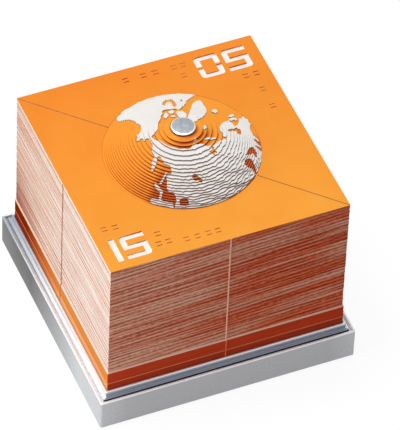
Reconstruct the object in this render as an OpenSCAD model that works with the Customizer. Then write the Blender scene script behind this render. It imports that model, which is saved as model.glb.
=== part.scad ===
// Desk memo block on a stepped stand. Each paper layer is two half-sheets round a disc of a paper globe.
// X runs along the front edge, Y to the back, Z up. The origin is the middle of the table area it stands on.

/* [Paper block] */
// Side of the square block of sheets
block_side = 100; // [90:1:130]
// Thickness of one paper layer
sheet_t = 0.66; // [0.5:0.01:0.9]
// Paper layers in one pack
sheets_per_pack = 17; // [14:1:24]
// Width of the straight cut between the two half-sheets
cut_w = 0.3; // [0.2:0.05:0.6]
// How far every second sheet stands back at the edges
sheet_stagger = 0.1; // [0.05:0.01:0.3]

/* [Boards] */
// Thickness of each of the two boards under the sheets
board_t = 5.6; // [3:0.1:8]
// How far the boards stand out past the sheets
board_proud = 0.35; // [0.1:0.05:1]

/* [Globe] */
// Radius of the globe at its equator
globe_r = 39.5; // [30:0.5:42]
// Height from the globe's equator to its pole
globe_h = 35.1; // [28:0.1:38]
// Depth of the equator below the top page
equator_depth = 22.1; // [16:0.1:26]
// Radius of the last disc at each pole
pole_disc_r = 7.7; // [6.5:0.1:10]
// Least growth in radius from one disc to the next at the poles
pole_disc_step = 1.6; // [0.5:0.1:2.5]
// Gap between the discs and the sheets round them
globe_gap = 0.3; // [0.2:0.05:1]
// Width of the land that is tucked in under the disc above
land_tuck = 1; // [0.5:0.1:2]
// How far the highest land stands out past its disc
highland_rise = 1; // [0:0.05:1.1]

/* [Spindle] */
// Radius of the post through the globe
post_r = 2; // [1.5:0.1:2.5]
// Wall of the tube that turns on the post
bush_wall = 1; // [0.8:0.1:2]
// Running clearance between post and tube
running_gap = 0.05; // [0.02:0.01:0.1]
// Clearance of a glued or pressed seat
seat_gap = 0.02; // [0.01:0.01:0.05]
// Radius of the post's foot and of the washer under the globe
foot_disc_r = 8; // [6:0.5:10]
// Thickness of the post's foot
foot_disc_t = 1.6; // [1:0.1:3]
// Radius of the cap at the pole
cap_r = 4.9; // [4:0.1:6.4]
// Thickness of the cap
cap_t = 1; // [0.8:0.1:2]
// Width and height of the bevel round the cap's top
cap_bevel = 0.5; // [0.2:0.1:0.7]
// Play between the cap and the top disc
cap_play = 0.1; // [0.05:0.05:0.3]

/* [Cut numbers] */
// Width of a wide number
digit_w = 10.1; // [7:0.1:12]
// Height of the numbers
digit_h = 12.1; // [9:0.1:14]
// Width of the strokes
stroke_w = 2.35; // [1.5:0.05:2.8]
// Radius of the outer corners of the strokes
digit_corner_r = 1.8; // [0.5:0.1:2.2]
// Space between two numbers
digit_space = 1.8; // [1:0.1:4]
// Width of the bridges that hold the middle of the zero
bridge_w = 0.8; // [0.5:0.1:1.5]
// Distance of the numbers from the sides of the page
number_side_margin = 5; // [3:0.1:8]
// Distance of the numbers from the page's front and back edges
number_end_margin = 4; // [3:0.1:8]
// Length of the small slits beside the numbers
slit_l = 2.4; // [1.5:0.1:3]
// Width of the small slits
slit_w = 0.4; // [0.2:0.05:0.6]
// Distance between the two slits of a pair
slit_pitch = 1.8; // [1:0.1:2.4]

/* [Glue lines] */
// Width of the line of glue on each side
bead_w = 0.8; // [0.5:0.1:2]
// How far the line of glue stands out
bead_d = 0.3; // [0.2:0.05:0.6]
// Height over which the line steps out from the sheets to the boards
bead_jog = 0.8; // [0.4:0.1:2]

/* [Stand] */
// Height of the ledge above the table
ledge_z = 14.5; // [12:0.5:20]
// Width of the ledge between the outer wall's face and the lip
ledge_w = 3; // [2.6:0.1:6]
// Thickness of the frame's rim along the ledge's outer edge
rim_t = 0.95; // [0.8:0.05:1.1]
// Width of the groove between the rim and the tray
groove_w = 0.9; // [0.3:0.05:1]
// Height of the lip above the ledge
lip_h = 2.7; // [1.5:0.1:5]
// Thickness of the lip
lip_t = 0.9; // [0.6:0.1:2]
// Depth of the tray inside the lip
tray_depth = 2; // [1:0.1:3]
// Clearance of the boards in the tray, each side
pad_gap = 0.15; // [0.1:0.05:0.5]
// Radius of the stand's upright corners
stand_corner_r = 0.8; // [0.5:0.1:2]
// Bevel along the rim's outer edge
rim_bevel = 0.4; // [0.2:0.05:0.45]
// Thickness of the outer walls below the tray's flange
wall_t = 2.4; // [2.2:0.1:3]
// Thickness of the tray's flange and of its skirt
flange_t = 1.6; // [1:0.1:2]
// Height of the skirt that centres the tray in the frame
skirt_h = 1.6; // [1:0.1:3]
// Thickness of the tray's floor
tray_floor_t = 2; // [1.5:0.1:3]
// Thickness of the base plate
plate_t = 1.6; // [1.4:0.1:2.4]
// Width of the rebate that the base plate sits in
rebate_w = 1.2; // [0.6:0.1:1.6]
// Clearance of plate and tray inside the frame
frame_gap = 0.2; // [0.1:0.05:0.5]

/* [Screws and feet] */
// Distance of the screws from the stand's outer faces
screw_inset = 18.4; // [16:0.1:24]
// Radius of the screw shanks
screw_r = 1.25; // [1:0.05:1.6]
// Length of the screws
screw_l = 9; // [7:0.5:10]
// Radius of the screw heads
screw_head_r = 2.75; // [2.2:0.05:3.4]
// Height of the countersunk heads
screw_head_h = 1.3; // [1:0.1:1.4]
// Clearance round the screws
screw_gap = 0.1; // [0.05:0.05:0.3]
// Wall of the screw bosses
boss_wall = 2.2; // [1.5:0.1:3]
// Distance of the feet's middles from the stand's outer faces
pad_foot_inset = 10.4; // [9:0.1:13]
// Radius of the feet
pad_foot_r = 5; // [3:0.5:6]
// Thickness of the feet
pad_foot_t = 1.2; // [0.8:0.1:1.6]
// How far the feet stand out below the stand
pad_foot_proud = 0.4; // [0.2:0.1:0.8]

/* [Hidden] */
$fn = 96;
pack_count = 5;
half = block_side / 2;

// Stand, from the boards outward and from the table upward
board_side = block_side + 2 * board_proud;
tray_in_side = board_side + 2 * pad_gap;
lip_side = tray_in_side + 2 * lip_t;
stand_side = lip_side + 2 * ledge_w;
stand_in_side = stand_side - 2 * wall_t;
opening_side = stand_side - 2 * rim_t;
flange_side = opening_side - 2 * groove_w;
skirt_side = stand_in_side - 2 * frame_gap;
plate_seat_side = stand_in_side + 2 * rebate_w;
plate_side = plate_seat_side - 2 * frame_gap;
base_z = pad_foot_proud;
plate_top_z = base_z + plate_t;
lip_z = ledge_z + lip_h;
tray_z = lip_z - tray_depth;
shoulder_z = ledge_z - flange_t;
skirt_z = shoulder_z - skirt_h;
tray_floor_z = tray_z - tray_floor_t;
boss_r = screw_r + screw_gap + boss_wall;
screw_offset = stand_side / 2 - screw_inset;
pad_foot_offset = stand_side / 2 - pad_foot_inset;

// Paper layers: the liner is layer 0, then the packs, the white sheet and the top page
board_top_z = tray_z + 2 * board_t;
white_layer = 1 + pack_count * sheets_per_pack;
cover_layer = white_layer + 1;
page_layer = cover_layer + 1;
function layer_z(layer) = board_top_z + layer * sheet_t;
page_z = layer_z(page_layer);

// Globe: a flattened ball, cut into discs one paper layer thick
globe_z = page_z - equator_depth;
washer_layer = 1;
first_layer = max(washer_layer + 1, ceil((globe_z - globe_h - board_top_z) / sheet_t));
last_layer = page_layer + ceil((globe_h - equator_depth) / sheet_t) - 1;
equator_layer = floor((globe_z - board_top_z) / sheet_t);
land_first_layer = white_layer;
bush_r = post_r + running_gap + bush_wall;
bush_seat_r = bush_r + seat_gap;
globe_top_z = layer_z(last_layer + 1);
cap_z = globe_top_z + cap_play;
post_top_z = cap_z + cap_t / 2;

function ball_r(z) = globe_r * sqrt(max(0, 1 - pow((z - globe_z) / globe_h, 2)));
function pole_r(layer) = pole_disc_r + pole_disc_step * min(layer - first_layer, last_layer - layer);
function in_globe(layer) = layer >= first_layer && layer <= last_layer;
function disc_r(layer) =
    in_globe(layer) ? max(ball_r(layer_z(layer + 0.5)), min(pole_r(layer), globe_r / 3)) : 0;
function bite_r(layer) =
    max(disc_r(layer - 1), disc_r(layer), disc_r(layer + 1), foot_disc_r) + globe_gap;
page_bite_r = disc_r(cover_layer) + globe_gap;

// Highlands: how far the land stands out past its disc, in two swells broken by small waves.
// The land of the first disc above the page stands out less, to keep clear of the page's edge.
relief_from = 196;
relief_to = 346;
peaks_from = 252;
peaks_to = 340;
relief_step = 2;
function swell(bearing, from, to) =
    bearing > from && bearing < to ? sin(180 * (bearing - from) / (to - from)) : 0;
function wave(bearing, layer) =
    0.5 + 0.3 * sin(17 * bearing + 60 * layer) + 0.2 * sin(41 * bearing - 95 * layer);
function rise(layer) =
    highland_rise * (layer > page_layer ? 1 : 0.7) * disc_r(layer) / disc_r(page_layer);
function relief(bearing, layer) = rise(layer) * wave(bearing, layer)
    * (swell(bearing, relief_from, relief_to) + swell(bearing, peaks_from, peaks_to)) / 2;

// Map points are [bearing round the pole from +X, latitude], in degrees
function map_point(p) = globe_r * cos(p[1]) * [cos(p[0]), sin(p[0])];

land_outlines = [
    // Great northern landmass: Arctic coast, western capes, inland south, eastern coast
    [[174, 70.5], [180, 71.5], [185, 72], [190, 73.5], [196, 74], [205, 74], [216, 74], [228, 74.5],
     [240, 74], [250, 74.5], [258, 74], [265, 74.5], [270, 76], [276, 76.5], [282, 75.5], [288, 75],
     [293, 73.5], [296, 71.5], [300, 70.5], [305, 69.5], [312, 69], [318, 68], [324, 66.5], [330, 66],
     [336, 67], [341, 68.5], [347, 68.5], [352, 67.5], [357, 66], [359.5, 64.5], [361.5, 62.5],
     [363, 60.5], [361, 58.5], [357, 58], [355, 57.5], [357, 55.5], [359, 54], [362, 52.5], [365, 51],
     [368, 50], [370, 48], [369.5, 46.5], [371.5, 45], [373, 43], [375, 41], [376.5, 39], [377, 34],
     [366, 34], [367, 38.5], [365, 40.5], [362, 42.5], [359, 44], [356, 44.5], [352, 44], [350.5, 42],
     [349.5, 39.5], [347, 40], [348.5, 42.5], [346.5, 44.8], [344, 41.5], [342, 34], [341.5, 40],
     [340, 44.8], [338.5, 40], [338, 34], [328, 34], [318, 34], [308, 34], [298, 34], [288, 34],
     [278, 34], [268, 34], [258, 34], [250, 34], [243, 34], [242.5, 40], [243.5, 42.5], [242, 46],
     [240.5, 47.5], [237, 47.5], [234.5, 49], [233.5, 51], [233, 53.5], [231, 55.5], [231.5, 57.5],
     [235, 58], [235.5, 59.5], [234, 61.5], [231, 63], [224, 63.5], [218, 65], [214, 66.5],
     [211, 65.5], [214, 62.5], [215.5, 60], [215.5, 55.5], [213.5, 57], [210.5, 60], [208.5, 62],
     [207.5, 64.5], [204, 65.5], [199, 66], [195, 68], [190, 69.5], [183, 69.5], [177, 69.5]],
    // Western landmass: eastern coast, Arctic coast, western coast
    [[58, 34], [58, 50], [59.5, 55], [62, 61], [65, 62], [63.5, 65.5], [66, 69], [71, 72], [77, 73.5],
     [82.5, 72], [90, 72], [97, 71], [103, 70.5], [108, 71], [111, 73.5], [117, 73.5], [127, 75], [139, 75],
     [150, 75.5],
     [160, 75.5], [168, 74], [172, 72], [177, 70.5], [174, 68.5], [176, 66.5], [170, 66], [171.5, 62],
     [166, 63.5], [162, 62.5], [158, 65.5], [150, 65.5], [144, 64.5], [140, 61.5], [135, 58.5],
     [132, 54], [131.5, 49], [132, 46], [130, 43.5], [127, 41], [124, 37], [122, 34], [112, 34],
     [102, 34], [92, 34], [82, 34], [72, 34], [64, 34]],
    // The great ice island
    [[10, 81], [15, 79], [18.5, 75.5], [22.5, 72.5], [27, 69], [33, 66], [41, 63], [45, 60], [49, 57.5],
     [52, 60], [54, 65], [54, 70], [52.5, 75], [50, 79], [48, 83], [20, 83]],
    // Islands of the far north
    [[56, 80], [64, 77.5], [71, 75.5], [80, 75.5], [85, 77], [88, 79.5], [85, 81.5], [70, 83], [56, 82]],
    [[87, 76], [89, 73.5], [98, 73.5], [101, 75], [97, 77.5]],
    [[104, 73.5], [109, 74], [115, 75], [122, 76.5], [121, 78], [110, 77.5], [104, 76]],
    [[96, 80], [104, 79], [109, 79.5], [106, 80.5], [97, 81]],
    [[304, 76], [312, 75], [319, 72.5], [323, 70.5], [320, 70], [314, 72.5], [307, 74.5]],
    [[332, 78], [340, 78.5], [348, 78], [349, 77], [340, 76.5]],
    [[280, 79], [287, 79], [287.5, 78], [281, 78]],
    // Islands of the western ocean
    [[19.5, 65], [24, 65.5], [27, 63.5], [26, 60.5], [22, 61], [20, 63]],
    [[364, 59.5], [367, 58], [369.5, 54], [369, 51.5], [365.5, 52.5], [366, 55], [364, 57]],
    [[370, 58], [372, 56.5], [374.5, 53], [375.5, 51], [373, 51], [371, 53.5], [370, 56]],
    // Islands of the eastern ocean
    [[224, 34], [224, 41], [226.5, 41.5], [229.5, 41.5], [229.5, 46.5], [226.5, 47], [223, 49],
     [222.5, 50.5], [226, 49.5], [229, 48], [231.5, 47.5], [231.5, 42], [233.5, 41], [240.5, 41],
     [241.5, 39.5], [241.5, 34], [233, 34]],
    [[229.5, 58.5], [231, 57.5], [229.5, 54.5], [228.5, 51], [226.5, 51], [228, 54.5]]
];

sea_outlines = [
    // Bays and gulfs of the Arctic coasts
    [[96, 64], [91, 60.5], [85.5, 57.5], [81, 57.5], [78.5, 62.5], [77.5, 68], [81.5, 71.5], [84, 69],
     [83, 65], [85, 62.5], [89, 63], [94, 66]],
    [[68, 63], [70, 63.5], [71, 61], [69, 60.5]],
    [[303, 70], [304, 68.5], [300, 67], [301, 65], [298.5, 64.5], [296.5, 66], [294.5, 64], [292.5, 64.5],
     [294.5, 66.5], [291, 66.5], [291.5, 68], [297, 68]],
    [[326, 67], [331, 66.5], [332, 64.5], [329, 64], [327.5, 65]],
    // Narrow seas of the west
    [[345.5, 63.5], [349, 61.5], [350.5, 58.5], [353.5, 57], [352.5, 54.5], [350, 53.5], [345, 54.5],
     [344, 57], [347.5, 57], [347, 58.5], [346.5, 60], [343, 62.5]],
    // Inland seas and lakes
    [[328, 49.5], [333, 48.5], [336.5, 46], [335, 44], [333, 42.5], [329.5, 41.5], [328, 43], [330, 45],
     [328.5, 46], [324.5, 48], [323, 49.5]],
    [[316, 49], [320, 48.5], [323, 46], [322, 43], [320, 42], [318.5, 39.5], [316, 38], [314, 38.5],
     [316, 41], [315.5, 42.5], [313, 45], [313, 47.5]],
    [[257, 56.5], [259.5, 58.5], [262.5, 58], [264, 56.5], [267.5, 54], [265.5, 52.5], [263, 54], [260, 54]],
    // Gulf of the far east
    [[245.5, 43.5], [248, 44.5], [252, 44], [253, 41], [250, 39.5], [246, 40]]
];

// Pairs of slits, as distances from the page's side and end edges
rear_slit_places = [[56, 6], [48.5, 6], [43.5, 6], [35.5, 6], [31.5, 6], [33.5, 11.5], [10.5, 20.5],
    [6, 20.5], [7, 29.5], [7, 39.5]];
front_slit_places = [[6, 22], [10.5, 21.5], [24.5, 12.5], [23, 7.5], [27, 7.5], [34, 6], [38.5, 6],
    [43, 6], [47, 6]];

paper_orange = [0.98, 0.58, 0.16];
board_orange = [0.90, 0.36, 0.10];
paper_white = [0.96, 0.95, 0.93];
edge_pink = [0.88, 0.66, 0.55];
silver = [0.72, 0.73, 0.75];
dark_rubber = [0.12, 0.12, 0.12];

module square_prism(side, z_low, z_high) {
    translate([0, 0, z_low]) linear_extrude(z_high - z_low) square(side, center = true);
}

module rounded_square(side, r) {
    square([side - 2 * r, side], center = true);
    square([side, side - 2 * r], center = true);
    for (x = [-1, 1], y = [-1, 1])
        translate([x, y] * (side / 2 - r)) circle(r);
}

module rounded_prism(side, r, z_low, z_high) {
    translate([0, 0, z_low]) linear_extrude(z_high - z_low) rounded_square(side, r);
}

module at_corners(offset_xy) {
    for (x = [-1, 1], y = [-1, 1])
        translate([x, y, 0] * offset_xy) children();
}

// Rod, tube or washer on the axis
module ring(outer_r, inner_r, z_low, z_high) {
    translate([0, 0, z_low]) linear_extrude(z_high - z_low) difference() {
        circle(outer_r);
        circle(inner_r);
    }
}

// Stand

// Walls with a rebate for the base plate below and a shoulder for the tray's flange above
module stand_frame() {
    color(silver) difference() {
        hull() {
            rounded_prism(stand_side, stand_corner_r, base_z, ledge_z - rim_bevel, $fn = 32);
            rounded_prism(stand_side - 2 * rim_bevel, stand_corner_r - rim_bevel, base_z, ledge_z, $fn = 32);
        }
        square_prism(plate_seat_side, base_z - 1, plate_top_z);
        square_prism(stand_in_side, plate_top_z - 1, ledge_z);
        square_prism(opening_side, shoulder_z, ledge_z + 1);
    }
}

// Lip, flange on the frame's shoulder, skirt inside the frame and bosses for the screws
module pad_tray() {
    color(silver) difference() {
        union() {
            square_prism(lip_side, shoulder_z, lip_z);
            square_prism(flange_side, shoulder_z, ledge_z);
            square_prism(skirt_side, skirt_z, ledge_z);
            at_corners(screw_offset) translate([0, 0, plate_top_z])
                cylinder(r = boss_r, h = tray_z - plate_top_z);
        }
        square_prism(tray_in_side, tray_z, lip_z + 1);
        difference() {
            square_prism(skirt_side - 2 * flange_t, skirt_z - 1, tray_floor_z);
            at_corners(screw_offset) cylinder(r = boss_r, h = tray_z);
        }
        at_corners(screw_offset) cylinder(r = screw_r + screw_gap, h = base_z + screw_l + 1);
    }
}

module base_plate() {
    color(silver) difference() {
        square_prism(plate_side, base_z, plate_top_z);
        at_corners(screw_offset) screw_solid(screw_gap);
        at_corners(pad_foot_offset) cylinder(r = pad_foot_r + screw_gap, h = pad_foot_t);
    }
}

// Countersunk screw standing on its head, grown by the given clearance
module screw_solid(clearance) {
    translate([0, 0, base_z]) rotate_extrude() polygon([
        [0, 0],
        [screw_head_r + clearance, 0],
        [screw_r + clearance, screw_head_h],
        [screw_r + clearance, screw_l],
        [0, screw_l]
    ]);
}

module base_screws() {
    color(silver) at_corners(screw_offset) screw_solid(0);
}

module rubber_feet() {
    color(dark_rubber) at_corners(pad_foot_offset) cylinder(r = pad_foot_r, h = pad_foot_t);
}

// Boards and sheets

module lower_board() {
    color(board_orange) difference() {
        square_prism(board_side, tray_z, tray_z + board_t);
        cylinder(r = post_r + seat_gap, h = board_top_z);
        cylinder(r = foot_disc_r + globe_gap, h = tray_z + foot_disc_t);
    }
}

module upper_board() {
    color(board_orange) difference() {
        square_prism(board_side, tray_z + board_t, board_top_z);
        cylinder(r = post_r + seat_gap, h = board_top_z + 1);
    }
}

module liner_sheet() {
    color(paper_white) difference() {
        square_prism(block_side, board_top_z, layer_z(1));
        cylinder(r = post_r + seat_gap, h = page_z);
    }
}

// Half of a square sheet, on the near side of the straight cut, with its bite for the globe
module half_sheet_outline(inset, hole_r) {
    edge = half - inset;
    reach = edge - cut_w / sqrt(2);
    difference() {
        polygon([[-edge, -edge], [reach, -edge], [-edge, reach]]);
        circle(hole_r);
    }
}

module half_sheet(layer) {
    inset = layer % 2 == 0 ? sheet_stagger : 0;
    translate([0, 0, layer_z(layer)]) linear_extrude(sheet_t) half_sheet_outline(inset, bite_r(layer));
}

module half_pack(index) {
    first = 1 + (index - 1) * sheets_per_pack;
    for (layer = [first:first + sheets_per_pack - 1]) half_sheet(layer);
}

module front_pack(index) {
    color(edge_pink) half_pack(index);
}

module rear_pack(index) {
    color(edge_pink) rotate(180) half_pack(index);
}

module front_white_sheet() {
    color(paper_white) half_sheet(white_layer);
}

module rear_white_sheet() {
    color(paper_white) rotate(180) half_sheet(white_layer);
}

module rounded_rectangle(w, h, r) {
    translate([r, 0]) square([w - 2 * r, h]);
    translate([0, r]) square([w, h - 2 * r]);
    for (x = [r, w - r], y = [r, h - r])
        translate([x, y]) circle(r);
}

module digit_zero() {
    difference() {
        rounded_rectangle(digit_w, digit_h, digit_corner_r);
        translate([stroke_w, stroke_w]) square([digit_w - 2 * stroke_w, digit_h - 2 * stroke_w]);
        translate([-1, (digit_h - bridge_w) / 2]) square([digit_w + 2, bridge_w]);
    }
}

module digit_one() {
    square([stroke_w, digit_h]);
}

// Squared hook, open on its right side
module digit_hook() {
    hook_h = (digit_h + stroke_w) / 2;
    difference() {
        union() {
            rounded_rectangle(digit_w, hook_h, digit_corner_r);
            translate([digit_w / 2, 0]) square([digit_w / 2, hook_h]);
        }
        translate([stroke_w, stroke_w]) square([digit_w, hook_h - 2 * stroke_w]);
    }
}

module digit_five() {
    translate([0, (digit_h - stroke_w) / 2]) digit_hook();
    translate([digit_w, (digit_h + stroke_w) / 2]) rotate(180) digit_hook();
}

module slit_pair() {
    for (y = [-1, 1])
        translate([0, y * slit_pitch / 2]) square([slit_l, slit_w], center = true);
}

module front_cuts() {
    translate([number_side_margin - half, number_end_margin - half]) {
        digit_one();
        translate([stroke_w + digit_space, 0]) digit_five();
    }
    for (p = front_slit_places)
        translate([p[0] - half, p[1] - half]) slit_pair();
}

module rear_cuts() {
    translate([half - number_side_margin - digit_w, half - number_end_margin - digit_h]) {
        digit_five();
        translate([-digit_w - digit_space, 0]) digit_zero();
    }
    for (p = rear_slit_places)
        translate([half - p[0], half - p[1]]) slit_pair();
}

module front_cover_sheet() {
    color(paper_orange) translate([0, 0, layer_z(cover_layer)]) linear_extrude(sheet_t) difference() {
        half_sheet_outline(0, page_bite_r);
        front_cuts();
    }
}

module rear_cover_sheet() {
    color(paper_orange) translate([0, 0, layer_z(cover_layer)]) linear_extrude(sheet_t) difference() {
        rotate(180) half_sheet_outline(0, page_bite_r);
        rear_cuts();
    }
}

// Line of padding glue down the middle of one side, stepping out over the boards
module glue_bead(turn) {
    top = layer_z(cover_layer);
    low = lip_z + pad_gap;
    color(edge_pink) rotate(turn) translate([-bead_w / 2, -half, 0]) rotate([90, 0, 90])
        linear_extrude(bead_w) polygon([
            [0, top],
            [-bead_d, top],
            [-bead_d, board_top_z + bead_jog],
            [-board_proud - bead_d, board_top_z],
            [-board_proud - bead_d, low],
            [-board_proud, low],
            [-board_proud, board_top_z],
            [0, board_top_z]
        ]);
}

module front_glue_bead() {
    glue_bead(0);
}

module left_glue_bead() {
    glue_bead(-90);
}

module rear_glue_bead() {
    glue_bead(180);
}

module right_glue_bead() {
    glue_bead(90);
}

// Spindle

module spindle_post() {
    color(silver) {
        translate([0, 0, tray_z]) cylinder(r = foot_disc_r, h = foot_disc_t);
        translate([0, 0, tray_z]) cylinder(r = post_r, h = post_top_z - tray_z);
    }
}

module thrust_washer() {
    color(paper_white) ring(foot_disc_r, post_r + running_gap, layer_z(washer_layer), layer_z(first_layer));
}

module pole_cap() {
    top = cap_z + cap_t;
    color(silver) rotate_extrude() polygon([
        [post_r + seat_gap, cap_z],
        [cap_r, cap_z],
        [cap_r, top - cap_bevel],
        [cap_r - cap_bevel, top],
        [0, top],
        [0, post_top_z],
        [post_r + seat_gap, post_top_z]
    ]);
}

module globe_bush() {
    color(silver) ring(bush_r, post_r + running_gap, layer_z(first_layer), globe_top_z);
}

// Globe

// Stack of discs from one layer to another, with the hole for the tube
module disc_stack(low_layer, high_layer) {
    rotate_extrude() polygon(concat(
        [[bush_seat_r, layer_z(low_layer)]],
        [for (layer = [low_layer:high_layer], step = [0, 1]) [disc_r(layer), layer_z(layer + step)]],
        [[bush_seat_r, layer_z(high_layer + 1)]]
    ));
}

module globe_lower_layers() {
    color(paper_orange) disc_stack(first_layer, equator_layer);
}

module globe_middle_layers() {
    color(paper_orange) {
        disc_stack(equator_layer + 1, land_first_layer - 1);
        for (layer = [land_first_layer:page_layer - 1]) sea_disc(layer, layer - 1);
    }
}

module land_outline() {
    difference() {
        for (outline = land_outlines) polygon([for (p = outline) map_point(p)]);
        for (outline = sea_outlines) polygon([for (p = outline) map_point(p)]);
    }
}

// Land of one disc in plan, inside the outer shape given: what shows and a strip under the disc above
module land_zone(layer) {
    intersection() {
        land_outline();
        difference() {
            children();
            circle(max(disc_r(layer + 1) - land_tuck, cap_r - cap_bevel));
        }
    }
}

// Disc with the uneven outer edge of the highlands
module land_disc(layer) {
    circle(disc_r(layer));
    if (layer >= page_layer) polygon(concat(
        [[0, 0]],
        [for (bearing = [relief_from:relief_step:relief_to])
            (disc_r(layer) + relief(bearing, layer)) * [cos(bearing), sin(bearing)]]
    ));
}

// One disc of the sea, with the room for the land cut out past its edge. Every disc lies wholly on the one
// below, so it may start in a lower layer of its stack and the discs run into one another.
module sea_disc(layer, foot_layer) {
    foot_z = layer_z(foot_layer);
    translate([0, 0, foot_z]) linear_extrude(layer_z(layer + 1) - foot_z) difference() {
        circle(disc_r(layer));
        circle(bush_seat_r);
        land_zone(layer) circle(disc_r(layer) + land_tuck);
    }
}

module globe_sea_layers() {
    color(paper_orange) for (layer = [page_layer:last_layer]) sea_disc(layer, max(layer - 1, page_layer));
}

module globe_land_layers() {
    color(paper_white) for (layer = [land_first_layer:last_layer])
        translate([0, 0, layer_z(layer)]) linear_extrude(sheet_t) land_zone(layer) land_disc(layer);
}

stand_frame();
pad_tray();
base_plate();
base_screws();
rubber_feet();
lower_board();
upper_board();
liner_sheet();
for (i = [1:pack_count]) {
    front_pack(i);
    rear_pack(i);
}
front_white_sheet();
rear_white_sheet();
front_cover_sheet();
rear_cover_sheet();
front_glue_bead();
left_glue_bead();
rear_glue_bead();
right_glue_bead();
spindle_post();
thrust_washer();
pole_cap();
globe_bush();
globe_lower_layers();
globe_middle_layers();
globe_sea_layers();
globe_land_layers();
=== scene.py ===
import math
import random

import bmesh
import bpy
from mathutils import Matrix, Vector


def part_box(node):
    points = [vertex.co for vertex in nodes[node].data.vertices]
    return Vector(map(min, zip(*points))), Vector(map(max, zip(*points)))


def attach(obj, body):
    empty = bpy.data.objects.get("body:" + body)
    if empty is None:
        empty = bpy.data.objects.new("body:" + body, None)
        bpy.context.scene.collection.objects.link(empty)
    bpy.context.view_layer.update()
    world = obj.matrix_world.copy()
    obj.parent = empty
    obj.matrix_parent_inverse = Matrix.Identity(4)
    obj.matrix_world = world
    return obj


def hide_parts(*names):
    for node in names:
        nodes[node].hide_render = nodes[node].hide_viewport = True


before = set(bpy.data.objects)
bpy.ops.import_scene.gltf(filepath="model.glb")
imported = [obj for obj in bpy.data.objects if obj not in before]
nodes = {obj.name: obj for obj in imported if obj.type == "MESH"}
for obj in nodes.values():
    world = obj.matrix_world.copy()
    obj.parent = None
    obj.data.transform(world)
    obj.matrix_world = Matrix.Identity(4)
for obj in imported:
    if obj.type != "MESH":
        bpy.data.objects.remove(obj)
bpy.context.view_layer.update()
scene = bpy.context.scene
scene.view_settings.view_transform = "Standard"

MM = 0.001
SAME = 0.02  # lengths closer than this are one and the same, in millimetres
QUARTERS = ((1, 0), (0, 1), (-1, 0), (0, -1))  # cosine and sine of 0, 90, 180 and 270 degrees
POST_HOLE = 2.02  # radius of the holes that the post goes through, in millimetres


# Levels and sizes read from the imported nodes, in millimetres

def node_box(name):
    low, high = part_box(name)
    return [c / MM for c in low], [c / MM for c in high]


def node_levels(name):
    """Height of a node's lower and upper end."""
    low, high = node_box(name)
    return low[2], high[2]


def corners(name):
    return [tuple(c / MM for c in v.co) for v in nodes[name].data.vertices]


def heights(name):
    return sorted({round(p[2], 2) for p in corners(name)})


def reach(name, z):
    """Distances from the middle, along X, that a node's corners have at one height."""
    return sorted({round(abs(p[0]), 2) for p in corners(name) if abs(p[2] - z) < SAME})


base_z, ledge_z = node_levels("stand_frame")
stand_half = node_box("stand_frame")[1][0]
lip_z = node_levels("pad_tray")[1]
tray_z, board_joint_z = node_levels("lower_board")
board_half = node_box("lower_board")[1][0]
board_top_z = node_levels("upper_board")[1]
page_low_z, page_z = node_levels("front_cover_sheet")
page_half = -node_box("front_cover_sheet")[0][0]
sheet_t = page_z - page_low_z
cap_low_z, cap_z = node_levels("pole_cap")
cap_r = node_box("pole_cap")[1][0]
packs = sorted(name for name in nodes if "_pack_" in name)


# Shader helpers

NOISE = (0.3, 0.7)  # where nearly all values of a noise texture lie


class Graph:
    """A node tree under construction: short names for the nodes it is made of."""

    def __init__(self, tree):
        self.tree = tree

    def node(self, kind):
        return self.tree.nodes.new(kind)

    def link(self, a, b):
        self.tree.links.new(a, b)

    def feed(self, socket, value):
        if isinstance(value, bpy.types.NodeSocket):
            self.link(value, socket)
        else:
            socket.default_value = value

    def math(self, op, a, b=0.0, clamp=False):
        n = self.node("ShaderNodeMath")
        n.operation = op
        n.use_clamp = clamp
        self.feed(n.inputs[0], a)
        self.feed(n.inputs[1], b)
        return n.outputs[0]

    def plus(self, a, b):
        return self.math("ADD", a, b)

    def minus(self, a, b):
        return self.math("SUBTRACT", a, b)

    def times(self, a, b):
        return self.math("MULTIPLY", a, b)

    def most(self, a, b):
        return self.math("MAXIMUM", a, b)

    def absolute(self, a):
        return self.math("ABSOLUTE", a)

    def weigh(self, a, weight_a, b, weight_b):
        return self.plus(self.times(a, weight_a), self.times(b, weight_b))

    def span(self, value, a, b, c=0.0, d=1.0):
        """Maps a to b onto c to d, and stays at c and d beyond."""
        n = self.node("ShaderNodeMapRange")
        self.feed(n.inputs["Value"], value)
        for key, x in (("From Min", a), ("From Max", b), ("To Min", c), ("To Max", d)):
            n.inputs[key].default_value = x
        return n.outputs["Result"]

    def span_mm(self, value, a, b, c=0.0, d=1.0):
        return self.span(value, a * MM, b * MM, c, d)

    def seen(self):
        """1 for the rays that see the background itself or mirrored, 0 for those that only bring light."""
        path = self.node("ShaderNodeLightPath").outputs
        mirrored = self.plus(path["Is Glossy Ray"], path["Is Transmission Ray"])
        return self.math("ADD", path["Is Camera Ray"], mirrored, clamp=True)


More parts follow.
